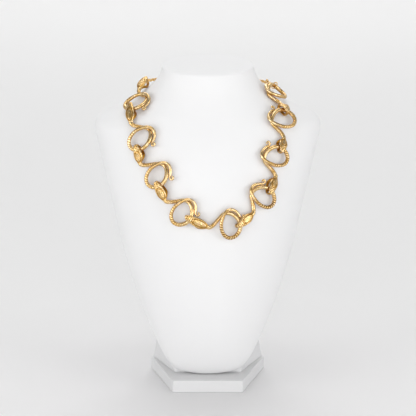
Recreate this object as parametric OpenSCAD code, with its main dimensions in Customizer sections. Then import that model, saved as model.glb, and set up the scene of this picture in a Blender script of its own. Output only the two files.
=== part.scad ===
// Necklace of nine cast snake links on a plain neck bust.
// Millimetres, +Z up, the front faces -Y, the foot stands on z = 0.

/* [Bust] */
// Width across the shoulders
shoulder_w = 202.4; // [198:0.2:206]
// Height of the foot plate
foot_h = 11; // [9:0.5:11]
// Width of the foot plate
foot_w = 104; // [96:1:112]

/* [Snake links] */
// Height of the flat bar above the bust
bar_gap = 0.3; // [0.3:0.1:0.6]
// Thickness of the bar behind the head
bar_t = 1.5; // [1.2:0.1:1.5]
// Half width of the bar and of the nose bend
bar_w = 1.4; // [1.2:0.1:1.5]

/* [Chain] */
// Wire of the fine chain
chain_wire = 0.9; // [0.8:0.05:0.95]
// Wire of the two end rings
ring_wire = 1; // [0.8:0.1:1]

/* [Hidden] */

GOLD = "goldenrod";
WHITE = "whitesmoke";

// Sections of the bust: height, half width, widest line, front and back in y
BUST = [
    [12, 17, -30, -38.5, -23],
    [14, 27, -28, -40.5, -19],
    [18, 33.5, -24, -43.5, -12],
    [25, 39.5, -18, -47.5, -2],
    [34, 45, -10, -52, 7],
    [54, 54.5, 0, -60.5, 18],
    [82, 65, 6, -68.5, 24],
    [124, 77.5, 10, -74.5, 27],
    [155, 84.5, 12, -74.5, 28],
    [180, 90.5, 14, -70.5, 29],
    [200, 95, 15, -64.5, 30],
    [216, 98.7, 16, -58, 31],
    [227, 101.2, 16, -52.5, 33],
    [234, 100.6, 15, -48.5, 35],
    [240, 96, 14, -45, 37],
    [245, 88, 13, -42, 39],
    [250, 76, 12, -39, 41],
    [256, 65, 10, -36, 43],
    [262, 56.5, 8, -33.5, 43.5],
    [267, 50, 6, -32, 43],
    [274, 44.5, 5, -31, 42],
    [283, 41, 5, -30.5, 41],
    [294, 39.6, 5, -30.5, 41]
];
SHOULDER_W = 202.4;
SECTION_POWER = 2.15;
TOP_TILT = 8;
TOP_Z = 285.6;
TOP_Y = 5;
RING_HEIGHTS = [12, 13, 15, 18, 22, 27, 34, 43, 54, 67, 82, 98, 115, 133, 151, 168,
                184, 198, 210, 220, 228, 234, 239, 243, 247, 251, 255, 259, 263, 267, 272];
BUST_SIDES = 40;

// One snake, laid out flat: u along the chain from the eye, v to its left,
// height of the centre line above the bust, radius of the wire
BODY = [
    [21.9, 4.3, 1.95, 1.6],
    [24.2, 7.5, 1.95, 1.65],
    [27.0, 9.2, 2.0, 1.65],
    [30.9, 9.3, 2.4, 1.75],
    [35.1, 7.3, 3.2, 1.8],
    [38.6, 3.5, 3.9, 1.8],
    [40.1, -0.9, 4.0, 1.8],
    [39.3, -5.5, 4.0, 1.8],
    [36.4, -9.6, 4.2, 1.75],
    [31.9, -11.1, 4.5, 1.7],
    [27.6, -9.3, 5.0, 1.65],
    [24.8, -5.3, 5.35, 1.6],
    [23.6, -0.4, 5.5, 1.55],
    [23.9, 4.1, 5.4, 1.5],
    [25.0, 8.4, 5.2, 1.45],
    [27.3, 11.6, 4.6, 1.4],
    [30.6, 12.8, 3.7, 1.35],
    [34.0, 12.0, 3.0, 1.3],
    [37.0, 9.8, 2.8, 1.2],
    [38.8, 7.9, 2.9, 1.1],
    [40.1, 7.0, 3.1, 1.0],
    [41.5, 6.85, 3.3, 0.95],
    [42.4, 7.75, 3.5, 0.9],
    [42.25, 9.0, 3.7, 0.88],
    [41.15, 9.55, 3.9, 0.85],
    [40.1, 9.1, 4.15, 0.8]
];
// Head: distance from the eye, half width, height of the centre, rise, drop
LEAF = [
    [-4.4, 0.7, 8.1, 0.5, 0.5],
    [-3.5, 1.7, 8.05, 0.9, 0.75],
    [-1.6, 2.6, 7.75, 1.2, 0.9],
    [1.2, 3.4, 7.15, 1.4, 0.95],
    [4, 3.95, 6.5, 1.5, 0.95],
    [6.6, 4.1, 5.85, 1.5, 1.0],
    [8.8, 3.85, 5.3, 1.6, 1.4],
    [10.8, 3.15, 4.75, 1.7, 1.8],
    [12.6, 2.35, 4.2, 1.7, 1.8],
    [14.2, 1.8, 3.7, 1.65, 1.65]
];
// Each link on the bust: heading, place of the next eye on the loop, head bend,
// roll of the head, roll and lift of the loop, how much shorter the head is, and
// the side on which the bar shows (1 left, -1 right)
LINKS = [
    [-116, 6.6, 5, 25, 0, 0, 0, 1],
    [-80.5, 7, 13.5, 0, 0, 0, 1, 1],
    [-52.5, 6.8, 24, 0, 0, 0, 2.5, 1],
    [-48, 5.5, 16.5, 0, 0, 0, 1, 1],
    [-9, 5.3, 20, 0, 0, 0, -2.5, -1],
    [45.5, 5.9, 11, 0, 0, 0, 0.5, -1],
    [76, 6.6, 13, 0, 0, 0, 2.5, 1],
    [81, 6.4, 7, 0, 0, 0, 5.5, 1],
    [108, 6.3, -5, 0, -3.5, 8, 6, 1]
];
FIRST_EYE = [-54.3, 11, 263.4];
BODY_STEP = 0.7;
WIRE_SIDES = 8;
TINY = 0.01;
// Neck from the head to the body: stops, reach of its bend, how soon it dips
NECK_STOPS = [0.3, 0.55, 0.8];
NECK_REACH = 9;
NECK_DIP = 1.6;
// Row of the bar at which it leaves the bust and bends round the nose, and the place
// on the head that it points at
BAR_BEND = 7;
BAR_AIM = 10;
// Where the roll of a head turns into that of its loop, the lines they roll about,
// and where a loop lifts off
HEAD_END = 14;
ROLL_FADE = 8;
HEAD_EDGE = 2.5;
LOOP_EDGE = 10;
LIFT_FROM = 20;
// The last ring of the tail is this share of its wire
TAIL_END = 0.8;

// Surface of the bust
function slope(i) = let (a = max(i - 1, 0), b = min(i + 1, len(BUST) - 1))
    (BUST[b] - BUST[a]) / (BUST[b][0] - BUST[a][0]);
SLOPES = [for (i = [0:len(BUST) - 1]) slope(i)];
function seg(z, i = 0) = (i >= len(BUST) - 2 || z < BUST[i + 1][0]) ? i : seg(z, i + 1);
function section(z0) = let (
        z = min(max(z0, BUST[0][0]), BUST[len(BUST) - 1][0]),
        i = seg(z),
        h = BUST[i + 1][0] - BUST[i][0],
        t = (z - BUST[i][0]) / h,
        s = (2*t*t*t - 3*t*t + 1) * BUST[i] + (t*t*t - 2*t*t + t) * h * SLOPES[i]
          + (3*t*t - 2*t*t*t) * BUST[i + 1] + (t*t*t - t*t) * h * SLOPES[i + 1])
    [s[1] * shoulder_w / SHOULDER_W, s[2], s[3], s[4]];
function field(p) = let (
        s = section(p[2]),
        d = p[1] - s[1],
        q = d < 0 ? -d / (s[1] - s[2]) : d / (s[3] - s[1]))
    pow(pow(abs(p[0]) / s[0], SECTION_POWER) + pow(q, SECTION_POWER), 1 / SECTION_POWER) - 1;
function unit(v) = v / norm(v);
function normal(p, h = 2) = unit([
    field(p + [h, 0, 0]) - field(p - [h, 0, 0]),
    field(p + [0, h, 0]) - field(p - [0, h, 0]),
    field(p + [0, 0, h]) - field(p - [0, 0, h])]);
// Newton steps along n to the surface
PROBE = 0.2;
function land(p, n, k = 5) = k == 0 ? p :
    land(p - n * field(p) * 2*PROBE / (field(p + PROBE*n) - field(p - PROBE*n)), n, k - 1);

// A straight walk over the surface: each stop is [point, tangent, normal]
function flat(t, n) = unit(t - n * (t * n));
function stop_after(s, d) = let (
        q = land(s[0] + d * s[1], s[2], 4),
        n = normal(q),
        t = flat((q - s[0]) / d, n))
    [q, t, n];
function walk(s, d, count) =
    [for (k = 0, c = s; k <= count; k = k + 1, c = stop_after(c, d)) c];
WALK = 2;
BACK_STOPS = 3;
FORE_STOPS = 22;
function track(p, heading) = let (
        n = normal(p),
        e = flat([1, 0, 0], n),
        f = cross(n, e),
        s = [p, cos(heading) * e + sin(heading) * f, n],
        back = walk(s, -WALK, BACK_STOPS))
    concat([for (k = [BACK_STOPS:-1:1]) back[k]], walk(s, WALK, FORE_STOPS));
// Surface point, normal and heading for flat coordinates u, v
function spot(tr, u, v) = let (
        f = min(max(u / WALK + BACK_STOPS, 0), len(tr) - 1.001),
        i = floor(f),
        r = f - i,
        n = unit(tr[i][2] * (1 - r) + tr[i + 1][2] * r),
        t = unit(tr[i][1] * (1 - r) + tr[i + 1][1] * r),
        p = tr[i][0] * (1 - r) + tr[i + 1][0] * r,
        q = land(p + v * cross(n, t), n))
    [q, normal(q), t];

// Smooth curve through the rows of a table
function row(T, i) = i < 0 ? 2 * T[0] - T[1]
    : i > len(T) - 1 ? 2 * T[len(T) - 1] - T[len(T) - 2] : T[i];
function curve(T, x) = let (
        i = min(floor(x), len(T) - 2),
        f = x - i,
        a = row(T, i - 1),
        b = T[i],
        c = T[i + 1],
        d = row(T, i + 2))
    0.5 * (2*b + (c - a)*f + (2*a - 5*b + 4*c - d)*f*f + (3*b - a - 3*c + d)*f*f*f);

// Tracks of the nine links, each eye lying on the loop before it
function chain_of_tracks() =
    [for (i = 0, tr = track(FIRST_EYE, LINKS[0][0]); i < len(LINKS);
          b = curve(BODY, LINKS[i][1]),
          eye = spot(tr, b[0] - LINKS[i][6], b[1])[0],
          i = i + 1,
          tr = i < len(LINKS) ? track(eye, LINKS[i][0]) : 0) tr];

// Link i at u, v and a height: point and up direction. Head and loop roll about lines
// in front of them, and the far end of the loop lifts off the bust.
function smooth(x) = let (t = min(max(x, 0), 1)) t*t*(3 - 2*t);
function place(i, u0, v, h) = let (
        u = u0 - LINKS[i][6] * smooth(u0 / HEAD_END),
        k = smooth((u - HEAD_END) / ROLL_FADE),
        r = LINKS[i][3]*(1 - k) + LINKS[i][4]*k,
        a = LINKS[i][5],
        d = v - HEAD_EDGE*(1 - k) - LOOP_EDGE*k,
        s = spot(TRACKS[i], u, v - d + d*cos(r) + h*sin(r)),
        left = unit(cross(s[1], s[2])))
    [s[0] + (h*cos(r) - d*sin(r) + max(u - LIFT_FROM, 0)*tan(a)) * s[1],
     unit(cos(r)*s[1] + sin(r)*left - (u > LIFT_FROM ? sin(a) : 0)*s[2])];

// Ring of points round a centre, wide along side, rising and dropping along up
function ring(p, side, up, w, rise, drop) =
    [for (k = [0:WIRE_SIDES - 1]) let (
            a = 360*k/WIRE_SIDES,
            c = cos(a),
            s = sin(a))
        p + w*c*side + (s > 0 ? rise : drop)*s*up];
function along(P, i) = unit(P[min(i + 1, len(P) - 1)] - P[max(i - 1, 0)]);

// Skin over a list of rings
module skin(rings) {
    m = len(rings);
    n = len(rings[0]);
    polyhedron(
        points = [for (r = rings) each r],
        faces = concat(
            [[for (i = [0:n - 1]) i]],
            [[for (i = [n - 1:-1:0]) (m - 1)*n + i]],
            [for (j = [0:m - 2], i = [0:n - 1]) [j*n + i, (j + 1)*n + i, j*n + (i + 1) % n]],
            [for (j = [0:m - 2], i = [0:n - 1])
                [j*n + (i + 1) % n, (j + 1)*n + i, (j + 1)*n + (i + 1) % n]]));
}

// Flat direction and place of the head for a bend
function head_uv(t, bend) = [t * cos(bend), -t * sin(bend)];

// Bar beside and behind the head and the bend round the nose:
// distance from the eye, offset to the left, height, half width, half thickness
function bar_rows() = let (low = bar_gap + bar_t/2, h = bar_t/2) [
    [12.5, 1.2, 4.2, 1.1, 0.9], [10.8, 2.4, 3.9, 1.3, 1.1], [8.8, 3.4, 3.3, 1.35, 1.2],
    [7.1, 3.6, 2.4, 1.3, 1.1], [5.4, 3.3, 1.5, 1.3, 0.85], [2.8, 2.4, low, bar_w, h],
    [-0.6, 1, low, bar_w, h], [-2.8, 0.25, 1.3, bar_w, 0.85], [-3.7, 0, 2.6, bar_w, 0.95],
    [-4, 0, 4.4, bar_w, 0.95], [-3.85, 0, 6.2, bar_w, 0.95], [-3.1, 0, 7.5, bar_w, 0.9],
    [-1.6, 0, 7.8, 1.2, 0.8]];

module bar(i) {
    rows = bar_rows();
    bend = LINKS[i][2];
    shown = LINKS[i][7];
    s = [for (r = rows) let (q = head_uv(r[0], bend) + shown*r[1] * [sin(bend), cos(bend)])
        place(i, q[0], q[1], r[2])];
    P = [for (x = s) x[0]];
    q = head_uv(BAR_AIM, bend);
    n = s[BAR_BEND][1];
    side = cross(n, flat(place(i, q[0], q[1], 0)[0] - place(i, 0, 0, 0)[0], n));
    skin([for (k = [0:len(rows) - 1]) let (
            t = along(P, k),
            sd = unit(side - t * (side * t)))
        ring(P[k], sd, cross(t, sd), rows[k][3], rows[k][4], rows[k][4])]);
}

// Rows of head, neck and body: u, v, height, half width, rise, drop
function round_row(q, z, r) = [q[0], q[1], z, r, r, r];
function head_rows(bend) =
    [for (r = LEAF) let (q = head_uv(r[0], bend)) [q[0], q[1], r[2], r[1], r[3], r[4]]];
function neck_rows(bend) = let (
        e = LEAF[len(LEAF) - 1],
        a = head_uv(e[0], bend),
        b = [BODY[0][0], BODY[0][1]],
        ta = NECK_REACH * unit(a),
        tb = NECK_REACH * unit([BODY[1][0] - b[0], BODY[1][1] - b[1]]))
    [for (t = NECK_STOPS) round_row(
        (2*t*t*t - 3*t*t + 1)*a + (t*t*t - 2*t*t + t)*ta
            + (3*t*t - 2*t*t*t)*b + (t*t*t - t*t)*tb,
        e[2] + (BODY[0][2] - e[2]) * (1 - pow(1 - t, NECK_DIP)),
        e[1] + (BODY[0][3] - e[1]) * t)];
function body_rows() = concat(
    [for (x = [0:BODY_STEP:len(BODY) - 1 - TINY]) let (r = curve(BODY, x)) round_row(r, r[2], r[3])],
    [let (r = BODY[len(BODY) - 1]) round_row(r, r[2], r[3] * TAIL_END)]);
function snake_rows(bend) = concat(head_rows(bend), neck_rows(bend), body_rows());

module snake(i) {
    rows = snake_rows(LINKS[i][2]);
    s = [for (r = rows) place(i, r[0], r[1], r[2])];
    P = [for (x = s) x[0]];
    color(GOLD) union() {
        bar(i);
        skin([for (k = [0:len(rows) - 1]) let (
                r = rows[k],
                t = along(P, k),
                sd = unit(cross(s[k][1], t)))
            ring(P[k], sd, cross(t, sd), r[3], r[4], r[5])]);
    }
}
TRACKS = chain_of_tracks();

// Fine chain: oval links that alternate flat and upright along a path round the neck
LINK_R = 1.2;
LINK_A = 1.4;
SLACK = 0.36;
PITCH = LINK_A + 2*LINK_R - chain_wire - SLACK;
RING_R = 3.1;
STRAND_R = 2.05;
SURFACE_GAP = 0.35;
RIDE = LINK_R + chain_wire/2 + SURFACE_GAP;
// Axis of the neck, a radius outside it, and the path at the middle of the back:
// its y and height, and how far it stands off more than in front
NECK_AXIS = [0, 6];
NECK_OUTSIDE = 48;
BACK_Y = 43;
BACK_Z = 266;
BACK_OFF = 0.8;
// How soon a path joins the common one, and the play of its first link
LEAD_FADE = 2.5;
FIRST_PLAY = 0.1;
CLASP_ARC = 14;
SWING = 0.2;
CLASP_EYE = 1.6;
CLASP_D = 2.6;

// Centres of the two end rings, and the normals of the bust there
NOSE_INSIDE = 1.7;
LEFT_RING_H = 4.1;
STRAND_STEP = 0.1;
LEFT_RING = let (q = head_uv(-NOSE_INSIDE - RING_R, LINKS[0][2]))
    place(0, q[0], q[1], LEFT_RING_H);
RIGHT_STRAND = let (
        b = curve(BODY, LINKS[8][1]),
        c = curve(BODY, LINKS[8][1] + STRAND_STEP),
        p = place(8, b[0], b[1], b[2]))
    [p[0], place(8, c[0], c[1], c[2])[0], p[1]];
RIGHT_OUT = unit(cross(RIGHT_STRAND[2], RIGHT_STRAND[1] - RIGHT_STRAND[0]));
RIGHT_RING = [RIGHT_STRAND[0] + (RING_R - ring_wire/2 - STRAND_R) * RIGHT_OUT, RIGHT_STRAND[2]];

function angle_of(p) = atan2(p[1] - NECK_AXIS[1], p[0] - NECK_AXIS[0]);
function base(a, z) = let (
        d = [cos(a), sin(a), 0],
        q = land([NECK_AXIS[0], NECK_AXIS[1], z] + NECK_OUTSIDE * d, -d, 7),
        n = normal(q))
    [q, n];
// Point and normal of the path from a ring to the middle of the back
function path(start, a) = let (
        a0 = angle_of(start),
        s = (a - a0) / (90 - a0),
        z = start[2] + (BACK_Z - start[2]) * (1 - pow(1 - s, 2)),
        b = base(a, z),
        c = base(a0, start[2]),
        lead = start - c[0] - RIDE * c[1],
        k = pow(max(1 - LEAD_FADE*s, 0), 2))
    [b[0] + (RIDE + BACK_OFF * pow(s, 3)) * b[1] + k * lead, b[1]];
function step_angle(start, a, d, k = 3, try = 3) = k == 0 ? a + try : let (
        g = 90 - angle_of(start) > 0 ? 1 : -1,
        v = norm(path(start, a + g * abs(try))[0] - path(start, a)[0]))
    step_angle(start, a, d, k - 1, g * abs(try) * d / v);
function run(start, first) = let (
        a0 = angle_of(start),
        g = 90 - a0 > 0 ? 1 : -1)
    [for (a = step_angle(start, a0, first); (90 - a) * g > CLASP_ARC;
          a = step_angle(start, a, PITCH)) a];
FIRST = RING_R - ring_wire/2 + PITCH/2 - FIRST_PLAY;
LEFT_RUN = run(LEFT_RING[0], FIRST);
RIGHT_RUN = run(RIGHT_RING[0], FIRST);

ROUND_SIDES = 20;
BEND_SIDES = 32;
HOOP_SIDES = 48;

// Places a shape at p with its length along t and its flat side along n
module placed(p, t, n) {
    s = cross(n, t);
    multmatrix([[t[0], s[0], n[0], p[0]], [t[1], s[1], n[1], p[1]], [t[2], s[2], n[2], p[2]]])
        children();
}
module oval(a, r, w) {
    for (k = [0, 180]) rotate([0, 0, k]) {
        translate([a/2, 0, 0]) rotate([0, 0, -90])
            rotate_extrude(angle = 180, $fn = BEND_SIDES) translate([r, 0])
                circle(d = w, $fn = ROUND_SIDES);
        translate([-a/2, r, 0]) rotate([0, 90, 0]) cylinder(h = a, d = w, $fn = ROUND_SIDES);
    }
}
module hoop(r, w) {
    rotate_extrude($fn = HOOP_SIDES) translate([r, 0]) circle(d = w, $fn = ROUND_SIDES);
}
module links(start, angles, first_flat) {
    at = [for (a = angles) path(start, a)];
    for (i = [0:len(at) - 1]) {
        before = i == 0 ? start : at[i - 1][0];
        after = i == len(at) - 1 ? 2*at[i][0] - before : at[i + 1][0];
        t = unit(after - before);
        n = flat(at[i][1], t);
        upright = (i + first_flat) % 2 == 0;
        placed(at[i][0], t, upright ? cross(n, t) : n) oval(LINK_A, LINK_R, chain_wire);
    }
}
module chain_left() {
    color(GOLD) {
        placed(LEFT_RING[0], flat([1, 0, 0], LEFT_RING[1]), LEFT_RING[1]) hoop(RING_R, ring_wire);
        links(LEFT_RING[0], LEFT_RUN, 0);
    }
}
module chain_right() {
    strand = unit(RIGHT_STRAND[1] - RIGHT_STRAND[0]);
    color(GOLD) {
        placed(RIGHT_RING[0], RIGHT_OUT, strand) hoop(RING_R, ring_wire);
        links(RIGHT_RING[0], RIGHT_RUN, 1);
    }
}

// Clasp: a plain rounded bar with a ring at each end
function far_end(start, angles) = let (
        n = len(angles),
        p = path(start, angles[n - 1])[0],
        q = path(start, angles[n - 2])[0])
    p + (LINK_A/2 + LINK_R - chain_wire/2 - ring_wire/2 - SWING) * unit(p - q);
module clasp() {
    a = far_end(LEFT_RING[0], LEFT_RUN);
    b = far_end(RIGHT_RING[0], RIGHT_RUN);
    t = unit(b - a);
    n = flat(normal([0, BACK_Y, BACK_Z]), t);
    eye_x = norm(b - a)/2 - CLASP_EYE;
    end = eye_x - CLASP_EYE;
    r = CLASP_D/2;
    tip = r/2;
    roll_a = len(LEFT_RUN) % 2 == 0 ? 90 : 0;
    roll_b = len(RIGHT_RUN) % 2 == 0 ? 0 : 90;
    color(GOLD) placed((a + b)/2, t, n) union() {
        translate([-eye_x, 0, 0]) rotate([roll_a, 0, 0]) hoop(CLASP_EYE, ring_wire);
        translate([eye_x, 0, 0]) rotate([roll_b, 0, 0]) hoop(CLASP_EYE, ring_wire);
        rotate([0, 90, 0]) rotate_extrude($fn = BEND_SIDES) polygon([
            [0, -end - tip], [r - tip, -end - tip], [r, -end],
            [r, end], [r - tip, end + tip], [0, end + tip]]);
    }
}

// Bust: rings of the surface up to the tilted flat top, and the stem behind
function bust_ring(z) = let (s = section(z))
    [for (k = [0:BUST_SIDES - 1]) let (
            c = cos(360*k/BUST_SIDES),
            n = sin(360*k/BUST_SIDES),
            x = sign(c) * pow(abs(c), 2/SECTION_POWER),
            y = pow(abs(n), 2/SECTION_POWER))
        [s[0] * x, n < 0 ? s[1] - (s[1] - s[2])*y : s[1] + (s[3] - s[1])*y, z]];
function top_point(k, f) = let (
        low = RING_HEIGHTS[len(RING_HEIGHTS) - 1],
        flat_top = bust_ring(TOP_Z)[k],
        z = low + f * (TOP_Z + (flat_top[1] - TOP_Y)*tan(TOP_TILT) - low))
    bust_ring(z)[k];

// Foot and stem: share of the width, front and back
FOOT_PLAN = [1, -57, 82.2];
STEM_LOW = [0.96, -30, 62];
STEM_TOP = [0.78, -12, 16];
STEM_TOP_Z = 74;
// Shares of the plan: its front and back edges in width, its widest line in depth
PLAN_FRONT = 0.6;
PLAN_BACK = 0.72;
PLAN_WIDEST = 0.55;

module bust() {
    color(WHITE) union() {
        skin(concat(
            [for (z = RING_HEIGHTS) bust_ring(z)],
            [for (f = [0.5, 1]) [for (k = [0:BUST_SIDES - 1]) top_point(k, f)]]));
        hull() {
            translate([0, 0, foot_h]) linear_extrude(TINY) foot_plan(STEM_LOW);
            translate([0, 0, STEM_TOP_Z]) linear_extrude(TINY) foot_plan(STEM_TOP);
        }
    }
}

// Six-sided plan of the foot and the stem, narrow in front and widest past the middle
module foot_plan(row) {
    w = foot_w/2 * row[0];
    front = row[1];
    back = row[2];
    wide = front + (back - front)*PLAN_WIDEST;
    polygon([[-PLAN_FRONT*w, front], [PLAN_FRONT*w, front], [w, wide],
             [PLAN_BACK*w, back], [-PLAN_BACK*w, back], [-w, wide]]);
}

module foot() {
    color(WHITE) linear_extrude(foot_h) foot_plan(FOOT_PLAN);
}

snake(0);  // snake_1
snake(1);  // snake_2
snake(2);  // snake_3
snake(3);  // snake_4
snake(4);  // snake_5
snake(5);  // snake_6
snake(6);  // snake_7
snake(7);  // snake_8
snake(8);  // snake_9
chain_left();
chain_right();
clasp();
bust();
foot();
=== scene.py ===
"""Necklace of nine cast snake links on a plain neck bust: the dressed model.

The tables and the shape maths are in millimetres, the meshes in metres. +Z is up and the
front faces -Y, as in the CAD model. The surface of the bust, the tracks over it and the rows
of the snakes are worked out as in the part's source, so that each strand lies on its solid.
"""
import math

import bpy
import numpy as np
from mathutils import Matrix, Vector


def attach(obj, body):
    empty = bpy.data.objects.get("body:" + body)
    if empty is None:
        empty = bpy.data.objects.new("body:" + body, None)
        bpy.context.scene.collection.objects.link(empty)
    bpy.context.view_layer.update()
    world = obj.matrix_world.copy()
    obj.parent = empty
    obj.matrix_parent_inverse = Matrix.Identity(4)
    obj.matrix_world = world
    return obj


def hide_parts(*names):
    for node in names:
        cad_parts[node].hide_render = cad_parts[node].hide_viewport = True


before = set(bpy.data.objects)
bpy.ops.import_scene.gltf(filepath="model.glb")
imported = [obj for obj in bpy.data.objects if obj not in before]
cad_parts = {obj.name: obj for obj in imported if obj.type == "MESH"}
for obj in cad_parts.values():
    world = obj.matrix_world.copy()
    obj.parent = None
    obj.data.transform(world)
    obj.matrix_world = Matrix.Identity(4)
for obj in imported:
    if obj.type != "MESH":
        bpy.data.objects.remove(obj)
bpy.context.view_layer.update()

MM = 0.001

# Tables, as in the part's source

# Sections of the bust: height, half width, widest line, front and back in y
BUST = np.array([
    [12, 17, -30, -38.5, -23], [14, 27, -28, -40.5, -19], [18, 33.5, -24, -43.5, -12],
    [25, 39.5, -18, -47.5, -2], [34, 45, -10, -52, 7], [54, 54.5, 0, -60.5, 18],
    [82, 65, 6, -68.5, 24], [124, 77.5, 10, -74.5, 27], [155, 84.5, 12, -74.5, 28],
    [180, 90.5, 14, -70.5, 29], [200, 95, 15, -64.5, 30], [216, 98.7, 16, -58, 31],
    [227, 101.2, 16, -52.5, 33], [234, 100.6, 15, -48.5, 35], [240, 96, 14, -45, 37],
    [245, 88, 13, -42, 39], [250, 76, 12, -39, 41], [256, 65, 10, -36, 43],
    [262, 56.5, 8, -33.5, 43.5], [267, 50, 6, -32, 43], [274, 44.5, 5, -31, 42],
    [283, 41, 5, -30.5, 41], [294, 39.6, 5, -30.5, 41]])
# Power of the superellipse; tilt, height and middle of the top; height where the wall starts
# to follow its tilt
SECTION_POWER = 2.15
TOP_TILT, TOP_Z, TOP_Y = math.radians(8), 285.6, 5
WALL_TOP = 272

# One snake laid out flat: u along the chain from the eye, v to its left, height, radius
BODY = np.array([
    [21.9, 4.3, 1.95, 1.6], [24.2, 7.5, 1.95, 1.65], [27.0, 9.2, 2.0, 1.65],
    [30.9, 9.3, 2.4, 1.75], [35.1, 7.3, 3.2, 1.8], [38.6, 3.5, 3.9, 1.8],
    [40.1, -0.9, 4.0, 1.8], [39.3, -5.5, 4.0, 1.8], [36.4, -9.6, 4.2, 1.75],
    [31.9, -11.1, 4.5, 1.7], [27.6, -9.3, 5.0, 1.65], [24.8, -5.3, 5.35, 1.6],
    [23.6, -0.4, 5.5, 1.55], [23.9, 4.1, 5.4, 1.5], [25.0, 8.4, 5.2, 1.45],
    [27.3, 11.6, 4.6, 1.4], [30.6, 12.8, 3.7, 1.35], [34.0, 12.0, 3.0, 1.3],
    [37.0, 9.8, 2.8, 1.2], [38.8, 7.9, 2.9, 1.1], [40.1, 7.0, 3.1, 1.0],
    [41.5, 6.85, 3.3, 0.95], [42.4, 7.75, 3.5, 0.9], [42.25, 9.0, 3.7, 0.88],
    [41.15, 9.55, 3.9, 0.85], [40.1, 9.1, 4.15, 0.8]])
# Head: distance from the eye, half width, height of the centre, rise, drop
LEAF = np.array([
    [-4.4, 0.7, 8.1, 0.5, 0.5], [-3.5, 1.7, 8.05, 0.9, 0.75], [-1.6, 2.6, 7.75, 1.2, 0.9],
    [1.2, 3.4, 7.15, 1.4, 0.95], [4.0, 3.95, 6.5, 1.5, 0.95], [6.6, 4.1, 5.85, 1.5, 1.0],
    [8.8, 3.85, 5.3, 1.6, 1.4], [10.8, 3.15, 4.75, 1.7, 1.8], [12.6, 2.35, 4.2, 1.7, 1.8],
    [14.2, 1.8, 3.7, 1.65, 1.65]])
# Bar beside the head and bend round the nose: distance, offset, height, half width, thickness
BAR = np.array([
    [12.5, 1.2, 4.2, 1.1, 0.9], [10.8, 2.4, 3.9, 1.3, 1.1], [8.8, 3.4, 3.3, 1.35, 1.2],
    [7.1, 3.6, 2.4, 1.3, 1.1], [5.4, 3.3, 1.5, 1.3, 0.85], [2.8, 2.4, 1.05, 1.4, 0.75],
    [-0.6, 1, 1.05, 1.4, 0.75], [-2.8, 0.25, 1.3, 1.4, 0.85], [-3.7, 0, 2.6, 1.4, 0.95],
    [-4.0, 0, 4.4, 1.4, 0.95], [-3.85, 0, 6.2, 1.4, 0.95], [-3.1, 0, 7.5, 1.4, 0.9],
    [-1.6, 0, 7.8, 1.2, 0.8]])
# Row of the bar at which it bends round the nose
BAR_BEND = 7
# Each link: heading, place of the next eye on the loop, head bend, roll of the head,
# roll and lift of the loop, how much shorter the head is, side on which the bar shows
HEADING, NEXT_EYE, BEND, HEAD_ROLL, LOOP_ROLL, LIFT, SHORTER, BAR_SIDE = range(8)
LINKS = [
    [-116, 6.6, 5, 25, 0, 0, 0, 1], [-80.5, 7, 13.5, 0, 0, 0, 1, 1],
    [-52.5, 6.8, 24, 0, 0, 0, 2.5, 1], [-48, 5.5, 16.5, 0, 0, 0, 1, 1],
    [-9, 5.3, 20, 0, 0, 0, -2.5, -1], [45.5, 5.9, 11, 0, 0, 0, 0.5, -1],
    [76, 6.6, 13, 0, 0, 0, 2.5, 1], [81, 6.4, 7, 0, 0, 0, 5.5, 1],
    [108, 6.3, -5, 0, -3.5, 8, 6, 1]]
FIRST_EYE = np.array([-54.3, 11.0, 263.4])
# Neck from the head to the body: reach of its bend, how soon it dips
NECK_REACH, NECK_DIP = 9, 1.6
# End of the head, fade from its roll to the loop's, the lines about which both roll, and the
# place from which the loop lifts
HEAD_END, ROLL_FADE = 14, 8
HEAD_EDGE, LOOP_EDGE, LIFT_FROM = 2.5, 10, 20
# Tracks over the bust: length of a step, steps before the eye and after it
WALK, BACK_STOPS, FORE_STOPS = 2, 3, 22
# Half lengths over which differences of the field are taken: down to the surface, for a normal
PROBE, NORMAL_PROBE = 0.2, 2.0

# Fine chain: wires of the links and the rings, radius and straight of a link, play in it, and
# so the way from link to link
CHAIN_WIRE, RING_WIRE = 0.9, 1.0
LINK_R, LINK_A, SLACK = 1.2, 1.4, 0.36
PITCH = LINK_A + 2*LINK_R - CHAIN_WIRE - SLACK
# End rings: radius, radius of the strand in them; height of the chain's middle over the bust,
# and the way from a ring to its first link
RING_R, STRAND_R = 3.1, 2.05
SURFACE_GAP, FIRST_PLAY = 0.35, 0.1
RIDE = LINK_R + CHAIN_WIRE/2 + SURFACE_GAP
FIRST = RING_R - RING_WIRE/2 + PITCH/2 - FIRST_PLAY
# Way round the neck: its axis, a distance outside the neck, direction and place of the middle
# of the back, how far it stands off there, how soon it comes in from the ring
NECK_AXIS = np.array([0.0, 6.0])
NECK_OUTSIDE = 48
BACK_AT, BACK_Y, BACK_Z = 90, 43, 266
BACK_OFF, LEAD_FADE = 0.8, 2.5
# Clasp: half the arc that it takes up in degrees, play in the last links, radius of its rings,
# diameter of its barrel
CLASP_ARC, SWING = 14, 0.2
CLASP_EYE, CLASP_D = 1.6, 2.6
# Left end ring in the nose of the first link: distance from the nose, height; step along the
# loop of the last link that gives the direction of its strand
NOSE_INSIDE, LEFT_RING_H, STRAND_STEP = 1.7, 4.1, 0.1

# Foot's width and height, and the outlines of foot and stem: share of the width, front, back
FOOT_W, FOOT_H = 104, 11
FOOT_PLAN = [1, -57, 82.2]
STEM_LOW = [0.96, -30, 62]
STEM_TOP = [0.78, -12, 16]
STEM_TOP_Z = 74
# Outline of both: half widths of the front and the back edge, place of the widest line
PLAN_FRONT, PLAN_BACK, PLAN_WIDEST = 0.6, 0.72, 0.55


# Surface and tracks

def unit(v):
    """v divided by its length."""
    return v / np.linalg.norm(v, axis=-1, keepdims=True)


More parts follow.
